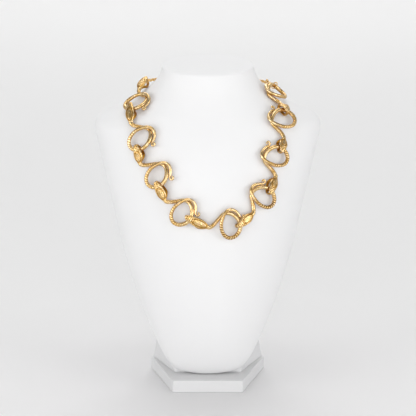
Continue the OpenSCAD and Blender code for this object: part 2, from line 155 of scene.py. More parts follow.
def through(knots, rows, x):
    """Cubic Hermite curve through the rows: each row and its slope, which is the difference of
    its two neighbours over theirs in the knots, weighted with the four cubic polynomials."""
    index = np.arange(len(knots))
    a, b = np.maximum(index - 1, 0), np.minimum(index + 1, len(knots) - 1)
    slopes = (rows[b] - rows[a]) / (knots[b] - knots[a])[:, None]
    x = np.clip(x, knots[0], knots[-1])
    i = np.clip(np.searchsorted(knots, x, side="right") - 1, 0, len(knots) - 2)
    h = (knots[i + 1] - knots[i])[..., None]
    t = (x - knots[i])[..., None] / h
    return ((2*t**3 - 3*t**2 + 1)*rows[i] + (t**3 - 2*t**2 + t)*h*slopes[i]
            + (3*t**2 - 2*t**3)*rows[i + 1] + (t**3 - t**2)*h*slopes[i + 1])


def curve(rows, x):
    """Catmull-Rom curve through evenly spaced rows, which are continued straight at both ends."""
    padded = np.vstack([2*rows[0] - rows[1], rows, 2*rows[-1] - rows[-2]])
    i = np.clip(np.floor(x).astype(int), 0, len(rows) - 2)
    f = (x - i)[..., None]
    a, b, c, d = (padded[i + k] for k in range(4))
    return 0.5*(2*b + (c - a)*f + (2*a - 5*b + 4*c - d)*f**2 + (3*b - a - 3*c + d)*f**3)


def section(z):
    """Half width, widest line, front and back of the bust at height z."""
    return through(BUST[:, 0], BUST[:, 1:], z)


def field(p):
    """How far p is outside the bust: the superellipse norm of its section, less 1."""
    half, middle, front, back = np.moveaxis(section(p[..., 2]), -1, 0)
    d = p[..., 1] - middle
    q = np.where(d < 0, -d/(middle - front), d/(back - middle))
    power = SECTION_POWER
    return (np.abs(p[..., 0]/half)**power + q**power)**(1/power) - 1


def normal(p):
    """Unit gradient of the field, from differences along each axis."""
    return unit(np.stack([field(p + NORMAL_PROBE*e) - field(p - NORMAL_PROBE*e)
                          for e in np.eye(3)], -1))


def land(p, n, steps=5):
    """Newton steps along n to the surface: the field over its slope there."""
    for _ in range(steps):
        rise = field(p + PROBE*n) - field(p - PROBE*n)
        p = p - n*(field(p)*2*PROBE/rise)[..., None]
    return p


def flat(t, n):
    """Unit part of t square to n."""
    return unit(t - n*np.sum(t*n, -1, keepdims=True))


def walk(point, heading, up, step, count):
    """Stops of a straight walk over the surface: a step along the heading, then down to it."""
    stops = [(point, heading, up)]
    for _ in range(count):
        p, t, n = stops[-1]
        q = land(p + step*t, n, steps=4)
        m = normal(q)
        stops.append((q, flat((q - p)/step, m), m))
    return stops


def track(point, heading):
    """Walk both ways from a point, at an angle to the x direction laid on the surface."""
    n = normal(point)
    east = flat(np.array([1.0, 0, 0]), n)
    a = math.radians(heading)
    t = math.cos(a)*east + math.sin(a)*np.cross(n, east)
    back = walk(point, t, n, -WALK, BACK_STOPS)[:0:-1]
    stops = back + walk(point, t, n, WALK, FORE_STOPS)
    return [np.array([s[k] for s in stops]) for k in range(3)]


def spot(line, u, v):
    """Surface point, normal and heading at u along a track and v to its left."""
    last = len(line[0]) - 1
    f = np.clip(u/WALK + BACK_STOPS, 0, last - 0.001)
    i = np.floor(f).astype(int)
    r = (f - i)[..., None]
    p, t, n = (a[i]*(1 - r) + a[i + 1]*r for a in line)
    t, n = unit(t), unit(n)
    q = land(p + v[..., None]*np.cross(n, t), n)
    return q, normal(q), t


def smooth(x):
    """0 below 0, 1 above 1, and the cubic smooth step between."""
    t = np.clip(x, 0, 1)
    return t*t*(3 - 2*t)


def chain_of_tracks():
    """Tracks of the nine links: each eye lies on the loop before it."""
    tracks = [track(FIRST_EYE, LINKS[0][HEADING])]
    for row, following in zip(LINKS, LINKS[1:]):
        at = curve(BODY, np.array(float(row[NEXT_EYE])))
        eye = spot(tracks[-1], at[0] - row[SHORTER], at[1])[0]
        tracks.append(track(eye, following[HEADING]))
    return tracks


TRACKS = chain_of_tracks()


def place(i, u, v, h):
    """Point and up direction of link i at u, v and a height: head and loop roll about lines in
    front of them, and the far end of the loop lifts off the bust."""
    u, v, h = np.broadcast_arrays(*(np.asarray(x, float) for x in (u, v, h)))
    u = u - LINKS[i][SHORTER]*smooth(u/HEAD_END)
    k = smooth((u - HEAD_END)/ROLL_FADE)
    roll = np.radians(LINKS[i][HEAD_ROLL]*(1 - k) + LINKS[i][LOOP_ROLL]*k)
    a = math.radians(LINKS[i][LIFT])
    d = v - HEAD_EDGE*(1 - k) - LOOP_EDGE*k
    s, n, t = spot(TRACKS[i], u, v - d + d*np.cos(roll) + h*np.sin(roll))
    left = unit(np.cross(n, t))
    up = h*np.cos(roll) - d*np.sin(roll) + np.maximum(u - LIFT_FROM, 0)*math.tan(a)
    lean = np.where(u > LIFT_FROM, math.sin(a), 0)[..., None]
    return (s + up[..., None]*n,
            unit(np.cos(roll)[..., None]*n + np.sin(roll)[..., None]*left - lean*t))


def head_uv(t, bend):
    """Flat place at distance t along a head that is bent by an angle in degrees."""
    a = math.radians(bend)
    return np.stack([t*math.cos(a), -t*math.sin(a)], -1)


# Meshes

# Least share of the section that an end keeps
POINT_SHARE = 0.02


def ring_quads(m, n, wraps):
    """Quads between m rings of n points, each ring closed; wraps joins the last to the first."""
    j, i = np.meshgrid(np.arange(m if wraps else m - 1), np.arange(n), indexing="ij")
    k, l = (i + 1) % n, (j + 1) % m
    return np.stack([j*n + i, j*n + k, l*n + k, l*n + i], -1).reshape(-1, 4)


def volume(points, triangles):
    """Six times the volume inside triangles: the sum of their corners' triple products."""
    a, b, c = (points[triangles[:, s]] for s in range(3))
    return np.sum(np.cross(a, b)*c)


def skin(grids, wraps):
    """Vertices and faces of closed shells. Each grid holds rings of points; neighbours along
    and round it make quads. Where it wraps, the last ring joins the first, and else a fan from
    the mean of each end ring closes it."""
    points, quads, fans, start = [], [], [], 0
    for grid in grids:
        m, n = grid.shape[:2]
        corners, quad, fan = grid.reshape(-1, 3), ring_quads(m, n, wraps), np.zeros((0, 3), int)
        if not wraps:
            corners = np.vstack([corners, grid[0].mean(0), grid[-1].mean(0)])
            i = np.arange(n)
            k = (i + 1) % n
            fan = np.vstack([np.stack([k, i, np.full(n, m*n)], -1),
                             np.stack([i, k, np.full(n, m*n + 1)], -1)])
            fan[n:, :2] += (m - 1)*n
        if volume(corners, np.vstack([fan, quad[:, [0, 1, 2]], quad[:, [0, 2, 3]]])) < 0:
            quad, fan = quad[:, ::-1], fan[:, ::-1]
        points.append(corners)
        quads.append(quad + start)
        fans.append(fan + start)
        start += len(corners)
    return np.vstack(points), np.vstack(quads), np.vstack(fans)


def piece(name, grids, finish, nodes, wraps=False):
    """A named object from closed shells in mm, with its finish, that stands for CAD nodes."""
    points, quads, triangles = skin(grids, wraps)
    mesh = bpy.data.meshes.new(name)
    mesh.vertices.add(len(points))
    mesh.vertices.foreach_set("co", (points*MM).ravel())
    corners = np.concatenate([quads.ravel(), triangles.ravel()])
    starts = np.concatenate([np.arange(len(quads))*4,
                             len(quads)*4 + np.arange(len(triangles))*3])
    mesh.loops.add(len(corners))
    mesh.loops.foreach_set("vertex_index", corners.astype(np.int32))
    mesh.polygons.add(len(starts))
    mesh.polygons.foreach_set("loop_start", starts.astype(np.int32))
    mesh.update(calc_edges=True)
    mesh.validate()
    mesh.polygons.foreach_set("use_smooth", np.ones(len(starts), bool))
    obj = bpy.data.objects.new(name, mesh)
    bpy.context.scene.collection.objects.link(obj)
    obj.data.materials.append(finish)
    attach(obj, "root")
    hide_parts(*nodes)
    return obj


def paint(obj, key, grids):
    """Gives the vertices of a piece a number each: one per grid point of its shells, and the
    mean of each end ring for the pole that closes it."""
    numbers = [np.concatenate([v.ravel(), [v[0].mean(), v[-1].mean()]]) for v in grids]
    layer = obj.data.attributes.new(key, "FLOAT", "POINT")
    layer.data.foreach_set("value", np.concatenate(numbers).astype(np.float32))


def sweep(centres, ups, section_points):
    """Rings round a centre line: each section point goes sideways and up from its centre,
    square to the line, where the side is the cross product of the up and the tangent."""
    t = unit(np.gradient(centres, axis=0))
    side = unit(np.cross(ups, t))
    up = np.cross(t, side)
    x, y = section_points[..., 0:1], section_points[..., 1:2]
    return centres[:, None] + x*side[:, None] + y*up[:, None]


def even(rows, spacing):
    """Rows resampled at even distances along the line that their first three columns give."""
    gaps = np.linalg.norm(np.diff(rows[:, :3], axis=0), axis=1)
    s = np.concatenate([[0], np.cumsum(gaps)])
    at = np.linspace(0, s[-1], int(s[-1]/spacing) + 1)
    return at, np.stack([np.interp(at, s, column) for column in rows.T], -1)


def rounded_ends(s, length):
    """Share of the full section near both ends: a quarter circle over the length."""
    first, last = (np.clip(1 - at/length, 0, 1) for at in (s, s[-1] - s))
    return (np.sqrt(np.clip(1 - first**2, POINT_SHARE**2, 1))
            * np.sqrt(np.clip(1 - last**2, POINT_SHARE**2, 1)))


# Finishes

# Colours of the cast gold: hollow and crest of its tone, patina and painted shade down the sides,
# in the cuts
GOLD_DULL, GOLD_BRIGHT = (0.68, 0.45, 0.17), (0.90, 0.70, 0.42)
GOLD_PATINA_AND_SHADE, GOLD_CUT = (0.50, 0.245, 0.032), (0.10, 0.042, 0.010)
# Colours of the drawn wire
WIRE_DULL, WIRE_BRIGHT = (0.80, 0.52, 0.20), (0.92, 0.68, 0.33)
# Grey of the bust, and the darker grey of the stem and the foot, which is the same paint with
# painted shade as if under the bust; the drift of both to the dull and the bright side
BUST_SHADE, FOOT_PAINTED_SHADE = 0.86, 0.74
DULL_DRIFT, BRIGHT_DRIFT = (-0.012, -0.012, -0.006), (0.01, 0.01, 0.013)


class Value:
    """A socket in a shader; an expression on it adds Math nodes."""

    def __init__(self, finish, socket):
        self.finish, self.socket = finish, socket

    def reckon(self, operation, *operands):
        """The Math node of an operation on two values or numbers."""
        node = self.finish.node("ShaderNodeMath", {"operation": operation}, *operands)
        return Value(self.finish, node.outputs[0])

    def __add__(self, other):
        return self.reckon("ADD", self, other)

    __radd__ = __add__

    def __sub__(self, other):
        return self.reckon("SUBTRACT", self, other)

    def __rsub__(self, other):
        return self.reckon("SUBTRACT", other, self)

    def __mul__(self, other):
        return self.reckon("MULTIPLY", self, other)

    __rmul__ = __mul__

    def over(self, low, high):
        """0 at low, 1 at high, clamped."""
        node = self.finish.node("ShaderNodeMapRange", {"clamp": True}, self, low, high, 0, 1)
        return Value(self.finish, node.outputs[0])


class Finish:
    """A material with a Principled shader and the nodes that feed it."""

    def __init__(self, name, **constants):
        self.material = bpy.data.materials.new(name)
        self.material.use_nodes = True
        self.tree = self.material.node_tree
        self.shader = self.tree.nodes["Principled BSDF"]
        for key, value in constants.items():
            self.shader.inputs[key.replace("_", " ")].default_value = value

    def node(self, kind, settings=None, *inputs, **named):
        """Adds a node: its settings first, then a value or a link for each socket."""
        node = self.tree.nodes.new(kind)
        for key, value in (settings or {}).items():
            setattr(node, key, value)
        pairs = list(enumerate(inputs)) + [(k.replace("_", " "), v) for k, v in named.items()]
        for key, value in pairs:
            if isinstance(value, Value):
                self.tree.links.new(value.socket, node.inputs[key])
            elif value is not None:
                node.inputs[key].default_value = value
        return node

    def position(self):
        """Place in the object, in metres."""
        return Value(self, self.node("ShaderNodeTexCoord").outputs["Object"])

    def noise(self, scale, detail, roughness=0.5):
        """Fractal noise from 0 to 1 on Object coordinates; scale is in cycles per metre."""
        node = self.node("ShaderNodeTexNoise", None, Vector=self.position(), Scale=scale,
                         Detail=detail, Roughness=roughness)
        return Value(self, node.outputs["Fac"])

    def attribute(self, name):
        """A number that the mesh holds at each vertex."""
        node = self.node("ShaderNodeAttribute", {"attribute_name": name})
        return Value(self, node.outputs["Fac"])

    def mix(self, factor, a, b):
        """Colour a where the factor is 0, b where it is 1."""
        node = self.node("ShaderNodeMix", {"data_type": "RGBA"}, factor)
        for socket, value in ((6, a), (7, b)):
            if isinstance(value, Value):
                self.tree.links.new(value.socket, node.inputs[socket])
            else:
                node.inputs[socket].default_value = (*value, 1)
        return Value(self, node.outputs[2])

    def feed(self, name, value):
        """Links a value to a socket of the shader."""
        self.tree.links.new(value.socket, self.shader.inputs[name])

    def bump(self, height, distance, strength):
        """Bends the surface's normal over heights from 0 to the distance, in metres."""
        node = self.node("ShaderNodeBump", None, Strength=strength, Distance=distance,
                         Height=height)
        self.feed("Normal", Value(self, node.outputs[0]))


def worn_gold_painted_shade():
    """Cast gold: polished on the crests, deeper and duller down the sides with patina and painted
    shade, dark in the cuts, with soft casting waves and fine rub marks. The colour goes from dull
    to bright with one noise, and with the vertex attribute of patina and painted shade plus a
    little tarnish on to deep and to the cuts'."""
    f = Finish("worn_gold_painted_shade", Metallic=1.0)
    patina_and_shade = f.attribute("patina_and_shade")
    tone = f.noise(scale=300, detail=3)
    tarnish = f.noise(scale=1100, detail=4, roughness=0.65)
    crest = f.mix(tone.over(0.35, 0.68), GOLD_DULL, GOLD_BRIGHT)
    # Patina and painted shade from the vertex attribute, with a little tarnish
    worn = patina_and_shade + 0.3*tarnish.over(0.5, 0.85)
    deep = f.mix(worn.over(0.02, 0.5), crest, GOLD_PATINA_AND_SHADE)
    f.feed("Base Color", f.mix(worn.over(0.5, 1.0), deep, GOLD_CUT))
    rub = f.noise(scale=2600, detail=3, roughness=0.7)
    f.feed("Roughness", 0.15 + 0.16*rub + 0.28*patina_and_shade)
    f.bump(0.8*f.noise(scale=640, detail=3) + 0.12*rub, distance=0.00026, strength=0.8)
    return f.material


def chain_gold():
    """Drawn wire: brighter gold between two tones of one noise, with fine rub marks of another
    in its gloss and its height, in place of casting waves."""
    f = Finish("chain_gold", Metallic=1.0)
    tone = f.noise(scale=700, detail=3)
    f.feed("Base Color", f.mix(tone.over(0.3, 0.75), WIRE_DULL, WIRE_BRIGHT))
    rub = f.noise(scale=3200, detail=3, roughness=0.7)
    f.feed("Roughness", 0.2 + 0.2*rub)
    f.bump(rub, distance=0.00004, strength=0.5)
    return f.material


def satin_white(name, shade):
    """Sprayed satin paint: a faint orange peel, slightly uneven gloss and tone, each a noise."""
    f = Finish(name, Coat_Weight=0.0)
    tone = f.noise(scale=9, detail=3)
    dull, bright = (tuple(shade + d for d in drift) for drift in (DULL_DRIFT, BRIGHT_DRIFT))
    f.feed("Base Color", f.mix(tone, dull, bright))
    peel = f.noise(scale=900, detail=2)
    f.feed("Roughness", 0.5 + 0.12*f.noise(scale=60, detail=4))
    f.bump(peel, distance=0.00005, strength=0.35)
    return f.material


WORN_GOLD_PAINTED_SHADE = worn_gold_painted_shade()
CHAIN_GOLD = chain_gold()
BUST_WHITE = satin_white("bust_white", BUST_SHADE)
# The bust's paint, darker: painted shade on the stem and the foot below the bust
FOOT_WHITE_PAINTED_SHADE = satin_white("foot_white_painted_shade", FOOT_PAINTED_SHADE)


# Snakes

# Sides of a ring, way from ring to ring, length of a rounded tip; the same of the bar, and the
# distance from the eye to which its nose bend aims
SIDES, SKIN_STEP, TIP_LENGTH = 72, 0.2, 0.8
BAR_SIDES, BAR_STEP, BAR_AIM = 24, 0.25, 10
# Stops of the lines before they are spaced evenly
LEAF_STOPS, NECK_STOPS, BODY_STOPS, BAR_STOPS = 240, 90, 900, 300
# Along the snake: start and length of the fade from leaf to round body, and from the head's
# relief to the body's
LEAF_TO, LEAF_FADE = 12.5, 6.5
NECK_FROM, NECK_FADE = 17, 3
# How much boxier the leaf is than an ellipse, and the darkening low on the sides, partly patina
# and partly painted shade
BOXY, LOW_PATINA_AND_SHADE = 0.16, 0.5
# Sine above which the head's relief has its full height; sine below which the low darkening of
# patina and painted shade starts, and over how much it grows
TOP_SINE, LOW_SINE, LOW_FADE = 0.5, 0.35, 1.1
# Darkening of the bar at the neck, partly patina and partly painted shade beside the leaf, how
# much less it is at the nose, where it starts to fall off
BAR_PATINA_AND_SHADE, NOSE_LESS, NOSE_FROM, NOSE_FADE = 0.55, 0.25, 15, 4

# Oval dome on the head: its middle, half length and half width; the moat round it: width,
# where it comes and goes, and over how far
OVAL_AT, OVAL_LONG, OVAL_WIDE = 7.4, 5.7, 2.75
MOAT_WIDTH, MOAT_FROM, MOAT_RISE, MOAT_TO, MOAT_FALL = 0.12, 0.9, 2.5, 15, 3
# Midline ridge: width, first and last place, fade
RIDGE_WIDTH, RIDGE_ZONE = 0.26, (2.4, 12, 2)
# Net of scale lines: waves per mm, slope and width of a line; its reach as a share of the oval
# and its fade there, and the same beside the midline in mm
NET_WAVES, NET_SLOPE, NET_LINE = 2.3, 1.35, 0.22
NET_REACH, NET_FADE, NET_CLEAR, NET_SIDE_FADE = 0.86, 0.2, 0.35, 0.3
# Scales before the oval: spacing, width of a cut and start along and across, first and last
# place and fade, how much a cut loses at the gaps across, reach across and its fade
SCALES_LONG, SCALES_WIDE = (1.5, 0.22, 0.35), (1.3, 0.2, 0.65)
SCALES_ZONE, SCALES_GAP, SCALES_REACH, SCALES_FADE = (-2.6, 4.4, 0.8), 0.8, 0.86, 0.1
# Eye pits: place along and across, size
EYE_AT, EYE_OUT, EYE_SIZE = -2.5, 1.15, 0.42
# Hammer marks: waves per mm along and across and phase, height, and patina in their hollows
HAMMER_WAVES = [(2.1, 1.3, 0), (-2.9, 1.7, 1), (0.8, 3.4, 2)]
HAMMER, HAMMER_PATINA = 0.05, 0.14
# Marks of the head: height and patina
HEAD_MARKS = {
    "midline": (0.13, 0), "moat": (-0.22, 0.75), "scales": (-0.2, 0.75), "eyes": (-0.35, 1.0),
    "net": (-0.07, 0.42)}

# Marks of the body: whose wear counts, first and last place, fade at the ends, depth, patina
BODY_MARKS = {
    "ribs": ("loop", 62, 88, 8, 0.26, 1.1), "seam": ("loop", 86, 101, 4, 0.13, 0.8),
    "ticks": ("loop", 86, 99, 4, 0.1, 0.6), "winding": ("neck", 21, 34, 4, 0.12, 0.6),
    "notches": ("neck", 22, 36, 4, 0.14, 0.75), "fine": ("none", 40, 62, 6, 0.03, 0.15)}
# Cuts across: slant in mm per radian, spacing, width
COMBS = {"ribs": (0.5, 2.05, 0.36), "ticks": (0, 1.6, 0.22), "notches": (0.9, 1.6, 0.25),
         "fine": (0, 1.2, 0.25)}
# Lines along: angle from the crest and spread in radians
LINES = {"seam": (0.1, 0.13), "ticks": (0.35, 0.3), "winding": (-0.8, 0.14),
         "notches": (0, 1.0), "fine": (0.9, 0.5)}
# The winding seam starts to turn there, and takes so many mm to a radian; reach of the ribs
# round the section and their fade there
WINDING_FROM, WINDING_RISE = 20, 9
RIB_REACH, RIB_FADE = 1.9, 0.5
# Strength of the marks on each casting, as worn: on the loop, on the neck
WEAR = [[0.3, 0.6], [0.35, 0.9], [0.4, 0.8], [0.45, 0.8], [1.0, 0.6], [1.0, 0.5],
        [0.75, 0.7], [0.5, 1.0], [0.45, 0.6]]


def snake_spine(bend):
    """Rows u, v, height, half width, rise, drop, from the nose over the neck to the tail: the
    leaf through its table, the neck a Hermite curve, the body through its own table."""
    t = np.linspace(LEAF[0, 0], LEAF[-1, 0], LEAF_STOPS)
    width, height, rise, drop = through(LEAF[:, 0], LEAF[:, 1:], t).T
    head = np.column_stack([head_uv(t, bend), height, width, rise, drop])
    end, start, following = head[-1], BODY[0], BODY[1]
    t = np.linspace(0, 1, NECK_STOPS)[1:-1, None]
    middle = ((2*t**3 - 3*t**2 + 1)*end[:2]
              + (t**3 - 2*t**2 + t)*NECK_REACH*unit(end[:2])
              + (3*t**2 - 2*t**3)*start[:2]
              + (t**3 - t**2)*NECK_REACH*unit(following[:2] - start[:2]))
    r = end[3] + (start[3] - end[3])*t
    z = end[2] + (start[2] - end[2])*(1 - (1 - t)**NECK_DIP)
    neck = np.hstack([middle, z, r, r, r])
    body = curve(BODY, np.linspace(0, len(BODY) - 1, BODY_STOPS))
    body = np.column_stack([body, body[:, 3], body[:, 3]])
    return np.vstack([head, neck, body])


def bell(x, width):
    """Smooth bump of height 1 round 0: e to the power of minus the square of x over width."""
    return np.exp(-(x/width)**2)


def comb(x, spacing, width, start=0):
    """Row of equal bumps, one in the middle of each spacing."""
    return bell((x + start) % spacing - spacing/2, width)


def zone(s, first, last, fade):
    """1 between two places along the snake, with a smooth step to 0 round each of them."""
    return smooth((s - first)/fade + 0.5)*smooth((last - s)/fade + 0.5)


def head_relief(t, x, width):
    """Height and patina of the head over the distance t from the eye and the place x across:
    an oval dome with a midline ridge and a net of scale lines, where two crossed sines are
    near 0, a moat round it, rows of scale cuts in front of it, two eye pits near the nose, and
    hammer marks, the mean of three crossed waves."""
    oval = np.hypot((t - OVAL_AT)/OVAL_LONG, x/OVAL_WIDE)
    off_ridge = smooth((np.abs(x) - NET_CLEAR)/NET_SIDE_FADE)
    waves = np.sin(NET_WAVES*(t + NET_SLOPE*x))*np.sin(NET_WAVES*(t - NET_SLOPE*x))
    gaps = 1 - SCALES_GAP*comb(x, *SCALES_WIDE)
    hammer = np.mean([np.sin(along*t + across*x + phase)
                      for along, across, phase in HAMMER_WAVES], axis=0)
    marks = {
        "midline": bell(x, RIDGE_WIDTH)*zone(t, *RIDGE_ZONE),
        "moat": (bell(oval - 1, MOAT_WIDTH)*smooth((t - MOAT_FROM)/MOAT_RISE)
                 * smooth((MOAT_TO - t)/MOAT_FALL)),
        "scales": (comb(t, *SCALES_LONG)*zone(t, *SCALES_ZONE)*gaps
                   * smooth((SCALES_REACH - np.abs(x)/width)/SCALES_FADE)),
        "eyes": bell(np.hypot(t - EYE_AT, np.abs(x) - EYE_OUT), EYE_SIZE),
        "net": bell(waves, NET_LINE)*smooth((NET_REACH - oval)/NET_FADE)*off_ridge}
    height = HAMMER*hammer + sum(HEAD_MARKS[key][0]*mark for key, mark in marks.items())
    patina = (HAMMER_PATINA*smooth(-hammer)
              + sum(HEAD_MARKS[key][1]*mark for key, mark in marks.items()))
    return height, patina


def body_relief(s, turn, worn):
    """Cut depth and patina of neck and loop over the length s and the angle from the crest:
    ribs across the crest of the return strand, a seam along its far part with ticks beside it,
    a seam that winds over the neck with notches beside it, and fine ticks on the far bend. A
    mark is its zone times its cuts across, times its line along."""
    strength = {"loop": worn[0], "neck": worn[1], "none": 1}
    cut = patina = 0
    for key, (whose, first, last, fade, depth, dark) in BODY_MARKS.items():
        mark = zone(s, first, last, fade)*strength[whose]
        if key in COMBS:
            slant, spacing, width = COMBS[key]
            mark = mark*comb(s + slant*turn, spacing, width)
        if key in LINES:
            angle, spread = LINES[key]
            wind = (s - WINDING_FROM)/WINDING_RISE if key == "winding" else 0
            mark = mark*bell(turn - angle - wind, spread)
        else:
            mark = mark*smooth((RIB_REACH - np.abs(turn))/RIB_FADE)
        cut = cut + depth*mark
        patina = patina + dark*mark
    return cut, np.clip(patina, 0, 1)


def snake_skin(i):
    """Rings and patina of link i from its nose to its tail. A ring's point goes the half width
    times the cosine sideways, and the rise or the drop times the sine up; both are pulled
    outwards over the leaf, lifted by the head's relief and drawn in by the body's cuts. Patina
    lies in the cuts, and low on the sides lies a darkening that is partly patina and partly
    painted shade."""
    s, rows = even(snake_spine(LINKS[i][BEND]), SKIN_STEP)
    u, v, h, width, rise, drop = rows.T
    centres, ups = place(i, u, v, h)
    share = rounded_ends(s, TIP_LENGTH)[:, None, None]
    s, width, rise, drop = (column[:, None] for column in (s, width, rise, drop))
    a = np.linspace(0, 2*np.pi, SIDES, endpoint=False)[None]
    c, sn = np.cos(a), np.sin(a)
    upper = sn > 0
    leaf = 1 - smooth((s - LEAF_TO)/LEAF_FADE)
    full = 1 + BOXY*leaf*(1 - c**4 - sn**4)
    x = width*c*full
    y = np.where(upper, rise*(1 - BOXY*leaf), drop)*sn*full + upper*BOXY*leaf*(1 - np.abs(c))
    after_head = smooth((s - NECK_FROM)/NECK_FADE)
    lift, patina = head_relief(s + LEAF[0, 0], x, width)
    top = smooth(sn/TOP_SINE)*(1 - after_head)
    turn = (a - np.pi/2 + np.pi) % (2*np.pi) - np.pi
    cut, body_patina = body_relief(s, turn, WEAR[i])
    cut = 1 - cut*after_head/width
    # Painted shade, with some patina, low on the sides and the underside of the strand
    low = LOW_PATINA_AND_SHADE*smooth((LOW_SINE - sn)/LOW_FADE)
    patina_and_shade = np.clip(patina*top + body_patina*after_head + low, 0, 1)
    ring = np.stack([x*cut, (y + lift*top)*cut], -1)
    return sweep(centres, ups, ring*share), patina_and_shade


def snake_bar(i):
    """Rings and patina of the bar of link i and its bend round the nose: ellipses square to
    the line through its table, whose sides all lie along the head's own. Its darkening is
    partly patina and partly painted shade beside the leaf."""
    bend = LINKS[i][BEND]
    a = math.radians(bend)
    across = LINKS[i][BAR_SIDE]*np.array([math.sin(a), math.cos(a)])
    rows = curve(BAR, np.linspace(0, len(BAR) - 1, BAR_STOPS))
    s, rows = even(np.column_stack([head_uv(rows[:, 0], bend) + rows[:, 1:2]*across,
                                    rows[:, 2:]]), BAR_STEP)
    points, _ = place(i, *rows[:, :3].T)
    nose = head_uv(BAR[BAR_BEND, 0], bend) + BAR[BAR_BEND, 1]*across
    nose_up = place(i, *nose, BAR[BAR_BEND, 2])[1]
    ahead = flat(place(i, *head_uv(BAR_AIM, bend), 0)[0] - place(i, 0, 0, 0)[0], nose_up)
    t = unit(np.gradient(points, axis=0))
    side = flat(np.broadcast_to(np.cross(nose_up, ahead), t.shape), t)
    b = np.linspace(0, 2*np.pi, BAR_SIDES, endpoint=False)[None, :, None]
    rings = (points[:, None] + rows[:, None, 3:4]*np.cos(b)*side[:, None]
             + rows[:, None, 4:5]*np.sin(b)*np.cross(t, side)[:, None])
    # Painted shade of the bar beside the leaf, with its patina, less round the nose
    patina = BAR_PATINA_AND_SHADE - NOSE_LESS*smooth((s - NOSE_FROM)/NOSE_FADE)
    return rings, patina[:, None] + 0*b[..., 0]


for number in range(len(LINKS)):
    grids, patinas_and_shade = zip(snake_skin(number), snake_bar(number))
    link = piece(f"snake_link_{number + 1}", grids, WORN_GOLD_PAINTED_SHADE, [f"snake_{number + 1}"])
    # Per vertex: patina in the cuts, and painted shade low on the sides and on the bar
    paint(link, "patina_and_shade", patinas_and_shade)


# Chain and clasp

# First try of an angle in degrees, and how often it is corrected
FIRST_TRY, CORRECTIONS = 3, 3
# Barrel: rings along it, sides, rounding of its ends, and its turned grooves, with their place
# as a share of the half length, half width and depth
BARREL_RINGS, BARREL_SIDES, BARREL_EDGE = 120, 40, 0.4
GROOVE_AT, GROOVE_WIDTH, GROOVE_DEPTH = 0.62, 0.22, 0.14


def angle_of(p):
    """Direction of p from the neck's axis, in degrees."""
    return math.degrees(math.atan2(p[1] - NECK_AXIS[1], p[0] - NECK_AXIS[0]))


def base(a, z):
    """Point and normal of the bust in the direction a from the neck's axis."""
    d = np.array([math.cos(math.radians(a)), math.sin(math.radians(a)), 0])
    q = land(np.array([*NECK_AXIS, z]) + NECK_OUTSIDE*d, -d, steps=7)
    return q, normal(q)


def path(start, a):
    """Point and normal of the chain's way from a ring to the middle of the back: it rises on a
    parabola to the back's height and keeps its distance to the bust."""
    a0 = angle_of(start)
    s = (a - a0)/(BACK_AT - a0)
    b, n = base(a, start[2] + (BACK_Z - start[2])*(1 - (1 - s)**2))
    c, m = base(a0, start[2])
    lead = start - c - RIDE*m
    return b + (RIDE + BACK_OFF*s**3)*n + max(1 - LEAD_FADE*s, 0)**2*lead, n


def step_angle(start, a, d):
    """The next angle that lies d further along the way, by corrections of a first try."""
    way = 1 if BACK_AT > angle_of(start) else -1
    step = FIRST_TRY
    for _ in range(CORRECTIONS):
        v = np.linalg.norm(path(start, a + way*abs(step))[0] - path(start, a)[0])
        step = way*abs(step)*d/v
    return a + step


def run(start):
    """Angles of the links from a ring up to the clasp."""
    a0 = angle_of(start)
    way = 1 if BACK_AT > a0 else -1
    angles = [step_angle(start, a0, FIRST)]
    while True:
        a = step_angle(start, angles[-1], PITCH)
        if (BACK_AT - a)*way <= CLASP_ARC:
            return angles
        angles.append(a)


def placed(grid, p, t, n):
    """A grid moved to p, with its x along t and its z along n."""
    return p + grid @ np.stack([t, np.cross(n, t), n])


def torus_on(line, wire, sides=14):
    """Tube of a wire along a closed flat line: half the wire times the cosine outwards in the
    line's plane, and times the sine square to it."""
    t = unit(np.roll(line, -1, 0) - np.roll(line, 1, 0))
    out = np.stack([t[:, 1], -t[:, 0], 0*t[:, 0]], -1)
    b = np.linspace(0, 2*np.pi, sides, endpoint=False)[None, :, None]
    return (line[:, None] + wire/2*np.cos(b)*out[:, None]
            + wire/2*np.sin(b)*np.array([0, 0, 1.0]))


def stadium(a, r, count=44):
    """Closed line of two half circles and the straights between them, evenly spaced."""
    arc = math.pi*r
    s = (np.arange(count) + 0.5)/count*(2*arc + 2*a)
    parts = [s < arc, s < arc + a, s < 2*arc + a]
    phi = np.select(parts, [s/r, math.pi, (s - a)/r], 2*math.pi)
    along = np.select(parts, [a/2, a/2 - (s - arc), -a/2], s - 2*arc - 3*a/2)
    return np.stack([along + r*np.sin(phi), r*np.cos(phi), 0*s], -1)


def chain_links(start, angles, first_flat):
    """Oval links that lie flat and stand upright in turn along the way."""
    at = [path(start, a) for a in angles]
    tubes = []
    for i, (p, n) in enumerate(at):
        before = start if i == 0 else at[i - 1][0]
        after = 2*p - before if i == len(at) - 1 else at[i + 1][0]
        t = unit(after - before)
        up = flat(n, t)
        if (i + first_flat) % 2 == 0:
            up = np.cross(up, t)
        tubes.append(placed(torus_on(stadium(LINK_A, LINK_R), CHAIN_WIRE), p, t, up))
    return tubes


def hoop(r, count=48):
    """Closed circle of radius r."""
    a = np.linspace(0, 2*np.pi, count, endpoint=False)
    return np.stack([r*np.cos(a), -r*np.sin(a), 0*a], -1)


def far_end(start, angles):
    """Middle of the clasp's ring in a chain's last link, straight on from its last two."""
    p, q = path(start, angles[-1])[0], path(start, angles[-2])[0]
    return p + (LINK_A/2 + LINK_R - CHAIN_WIRE/2 - RING_WIRE/2 - SWING)*unit(p - q)


